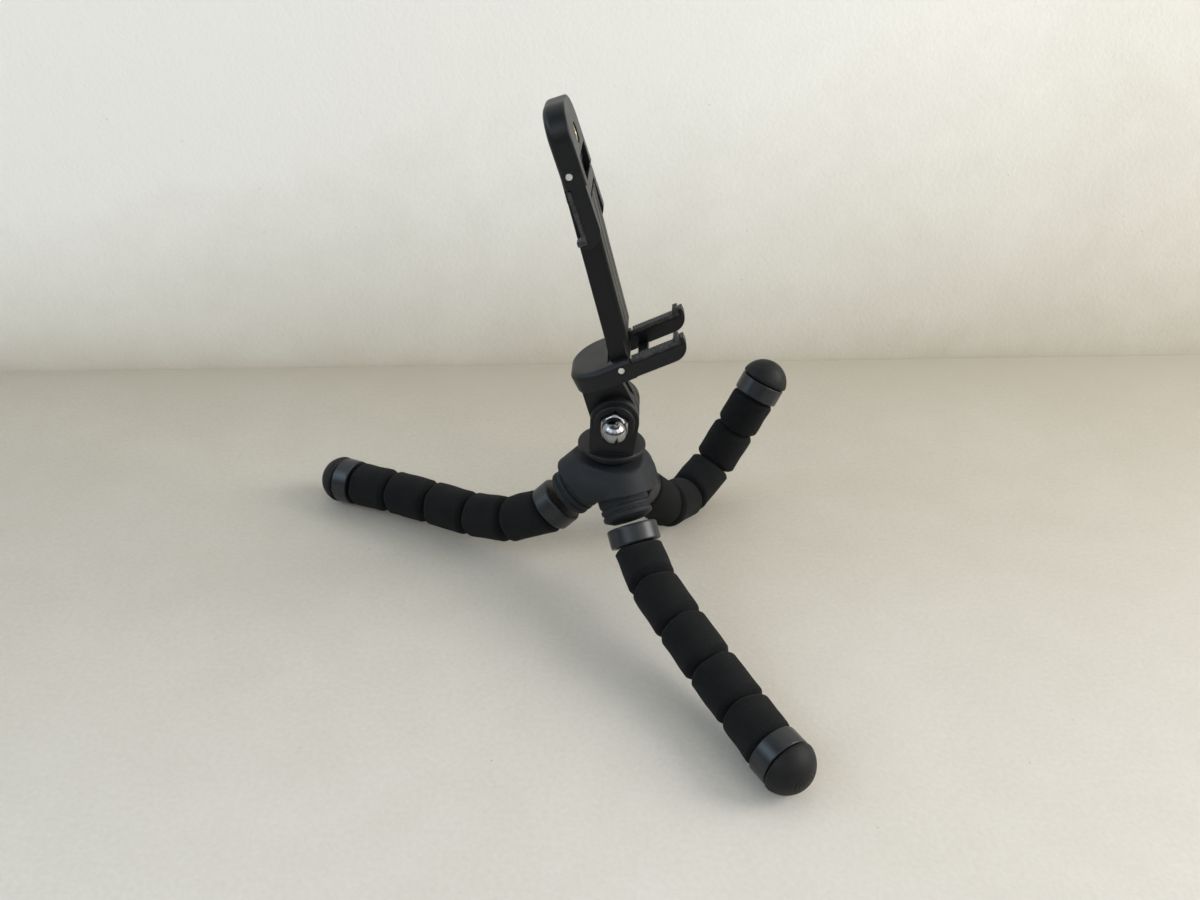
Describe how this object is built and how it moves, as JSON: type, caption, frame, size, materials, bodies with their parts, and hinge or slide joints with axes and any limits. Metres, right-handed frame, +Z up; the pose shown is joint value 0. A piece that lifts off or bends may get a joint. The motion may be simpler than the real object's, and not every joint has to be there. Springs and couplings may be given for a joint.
{
  "type": "mini tripod",
  "caption": "Mini tripod with three bendable foam legs, a pan and tilt head and a folding, telescoping phone clamp.",
  "frame": {"origin": "on the table, under the axis that the head turns about", "axes": "+Z up, +X towards the side that the clamp's fingers reach out to, the tilt bolt along Y"},
  "size_m": [0.1629, 0.157, 0.1539],
  "materials": {
    "foam": "matte fine foam",
    "plastic": "satin moulded plastic",
    "foot": "soft rubber",
    "pad": "soft rubber",
    "chrome": "polished",
    "steel": "bright drawn wire",
    "insert": "bright plated"
  },
  "bodies": {
    "hub": {"hub_body": "plastic", "leg_core_roots": "steel"},
    "front_leg_collar": {"front_leg_collar": "plastic", "front_leg_core_0": "steel"},
    "front_leg_bead_1": {"front_leg_foam_1": "foam", "front_leg_core_1": "steel"},
    "front_leg_bead_2": {"front_leg_foam_2": "foam", "front_leg_core_2": "steel"},
    "front_leg_bead_3": {"front_leg_foam_3": "foam", "front_leg_core_3": "steel"},
    "front_leg_bead_4": {"front_leg_foam_4": "foam", "front_leg_core_4": "steel"},
    "front_leg_bead_5": {"front_leg_foam_5": "foam", "front_leg_core_5": "steel", "front_leg_end_ring": "plastic", "front_leg_foot": "foot"},
    "left_leg_collar": {"left_leg_collar": "plastic", "left_leg_core_0": "steel"},
    "left_leg_bead_1": {"left_leg_foam_1": "foam", "left_leg_core_1": "steel"},
    "left_leg_bead_2": {"left_leg_foam_2": "foam", "left_leg_core_2": "steel"},
    "left_leg_bead_3": {"left_leg_foam_3": "foam", "left_leg_core_3": "steel"},
    "left_leg_bead_4": {"left_leg_foam_4": "foam", "left_leg_core_4": "steel"},
    "left_leg_bead_5": {"left_leg_foam_5": "foam", "left_leg_core_5": "steel", "left_leg_end_ring": "plastic", "left_leg_foot": "foot"},
    "rear_leg_collar": {"rear_leg_collar": "plastic", "rear_leg_core_0": "steel"},
    "rear_leg_bead_1": {"rear_leg_foam_1": "foam", "rear_leg_core_1": "steel"},
    "rear_leg_bead_2": {"rear_leg_foam_2": "foam", "rear_leg_core_2": "steel"},
    "rear_leg_bead_3": {"rear_leg_foam_3": "foam", "rear_leg_core_3": "steel"},
    "rear_leg_bead_4": {"rear_leg_foam_4": "foam", "rear_leg_core_4": "steel"},
    "rear_leg_bead_5": {"rear_leg_foam_5": "foam", "rear_leg_core_5": "steel", "rear_leg_end_ring": "plastic", "rear_leg_foot": "foot"},
    "pan": {"pan_base": "plastic", "pan_screw": "steel", "pivot_bolt": "steel", "acorn_nut": "chrome"},
    "clamp_base": {"mount_neck": "plastic", "bottom_jaw": "plastic", "bottom_jaw_pads": "pad", "bottom_jaw_pin": "steel"},
    "rail": {"rail": "plastic", "rail_cover": "plastic", "slider_springs": "steel"},
    "slider": {"slider_bar": "plastic", "top_jaw_pin": "steel"},
    "top_jaw": {"top_jaw": "plastic", "top_jaw_pads": "pad", "top_jaw_insert": "insert"}
  },
  "joints": [
    {"name": "front_leg_swing", "type": "hinge", "parent": "hub", "child": "front_leg_collar", "pos_m": [0.00722, -0.01251, 0.02757], "axis": [0.3572, -0.6188, 0.6997], "range_deg": [-15, 15]},
    {"name": "front_leg_lift_1", "type": "hinge", "parent": "front_leg_collar", "child": "front_leg_bead_1", "pos_m": [0.00943, -0.01684, 0.02254], "axis": [-0.891, -0.454, 0], "range_deg": [-20, 10.8]},
    {"name": "front_leg_lift_2", "type": "hinge", "parent": "front_leg_bead_1", "child": "front_leg_bead_2", "pos_m": [0.01487, -0.0318, 0.01905], "axis": [-0.9062, -0.4228, 0], "range_deg": [-20, 20]},
    {"name": "front_leg_lift_3", "type": "hinge", "parent": "front_leg_bead_2", "child": "front_leg_bead_3", "pos_m": [0.02286, -0.04564, 0.01584], "axis": [-0.8527, -0.5224, 0], "range_deg": [-20, 20]},
    {"name": "front_leg_lift_4", "type": "hinge", "parent": "front_leg_bead_3", "child": "front_leg_bead_4", "pos_m": [0.03152, -0.05896, 0.01218], "axis": [-0.8434, -0.5373, 0], "range_deg": [-20, 20]},
    {"name": "front_leg_lift_5", "type": "hinge", "parent": "front_leg_bead_4", "child": "front_leg_bead_5", "pos_m": [0.04005, -0.07261, 0.00963], "axis": [-0.8661, -0.4998, 0], "range_deg": [-20, 20]},
    {"name": "left_leg_swing", "type": "hinge", "parent": "hub", "child": "left_leg_collar", "pos_m": [-0.01444, 0, 0.02757], "axis": [-0.7145, 0, 0.6997], "range_deg": [-15, 15]},
    {"name": "left_leg_lift_1", "type": "hinge", "parent": "left_leg_collar", "child": "left_leg_bead_1", "pos_m": [-0.0193, -0.00025, 0.02254], "axis": [-0.0523, 0.9986, 0], "range_deg": [-20, 20]},
    {"name": "left_leg_lift_2", "type": "hinge", "parent": "left_leg_bead_1", "child": "left_leg_bead_2", "pos_m": [-0.0327, 0.00436, 0.0145], "axis": [0.4112, 0.9116, 0], "range_deg": [-20, 20]},
    {"name": "left_leg_lift_3", "type": "hinge", "parent": "left_leg_bead_2", "child": "left_leg_bead_3", "pos_m": [-0.04656, 0.01205, 0.01068], "axis": [0.4536, 0.8912, 0], "range_deg": [-20, 20]},
    {"name": "left_leg_lift_4", "type": "hinge", "parent": "left_leg_bead_3", "child": "left_leg_bead_4", "pos_m": [-0.06132, 0.01892, 0.00983], "axis": [0.4067, 0.9135, 0], "range_deg": [-20, 20]},
    {"name": "left_leg_lift_5", "type": "hinge", "parent": "left_leg_bead_4", "child": "left_leg_bead_5", "pos_m": [-0.07631, 0.02529, 0.00926], "axis": [0.3746, 0.9272, 0], "range_deg": [-20, 20]},
    {"name": "rear_leg_swing", "type": "hinge", "parent": "hub", "child": "rear_leg_collar", "pos_m": [0.00722, 0.01251, 0.02757], "axis": [0.3572, 0.6188, 0.6997], "range_deg": [-15, 15]},
    {"name": "rear_leg_lift_1", "type": "hinge", "parent": "rear_leg_collar", "child": "rear_leg_bead_1", "pos_m": [0.00972, 0.01667, 0.02254], "axis": [0.8572, -0.515, 0], "range_deg": [-20, 20]},
    {"name": "rear_leg_lift_2", "type": "hinge", "parent": "rear_leg_bead_1", "child": "rear_leg_bead_2", "pos_m": [0.01986, 0.02252, 0.01119], "axis": [0.7412, -0.6713, 0], "range_deg": [-20, 5.9]},
    {"name": "rear_leg_lift_3", "type": "hinge", "parent": "rear_leg_bead_2", "child": "rear_leg_bead_3", "pos_m": [0.02749, 0.03629, 0.00694], "axis": [0.8261, -0.5636, 0], "range_deg": [-20, 2.5]},
    {"name": "rear_leg_lift_4", "type": "hinge", "parent": "rear_leg_bead_3", "child": "rear_leg_bead_4", "pos_m": [0.03691, 0.04751, 0.01408], "axis": [0.6446, -0.7645, 0], "range_deg": [-20, 4.1]},
    {"name": "rear_leg_lift_5", "type": "hinge", "parent": "rear_leg_bead_4", "child": "rear_leg_bead_5", "pos_m": [0.04405, 0.05025, 0.02848], "axis": [0.142, -0.9899, 0], "range_deg": [-20, 20]},
    {"name": "pan", "type": "hinge", "parent": "hub", "child": "pan", "pos_m": [0, 0, 0.045], "axis": [0, 0, 1], "continuous": true},
    {"name": "tilt", "type": "hinge", "parent": "pan", "child": "clamp_base", "pos_m": [0.0006, 0, 0.0607], "axis": [0, -1, 0], "range_deg": [-75, 75]},
    {"name": "rail_fold", "type": "hinge", "parent": "clamp_base", "child": "rail", "pos_m": [0.00179, 0, 0.08016], "axis": [0, 1, 0], "range_deg": [-5, 79]},
    {"name": "slide", "type": "slide", "parent": "rail", "child": "slider", "axis": [-0.2807, 0, 0.9598], "range_m": [0, 0.03], "stiffness_N_per_m": 150, "springref_m": -0.01},
    {"name": "top_jaw_fold", "type": "hinge", "parent": "slider", "child": "top_jaw", "pos_m": [-0.01463, 0, 0.13631], "axis": [0, -1, 0], "range_deg": [-3, 76]}
  ]
}
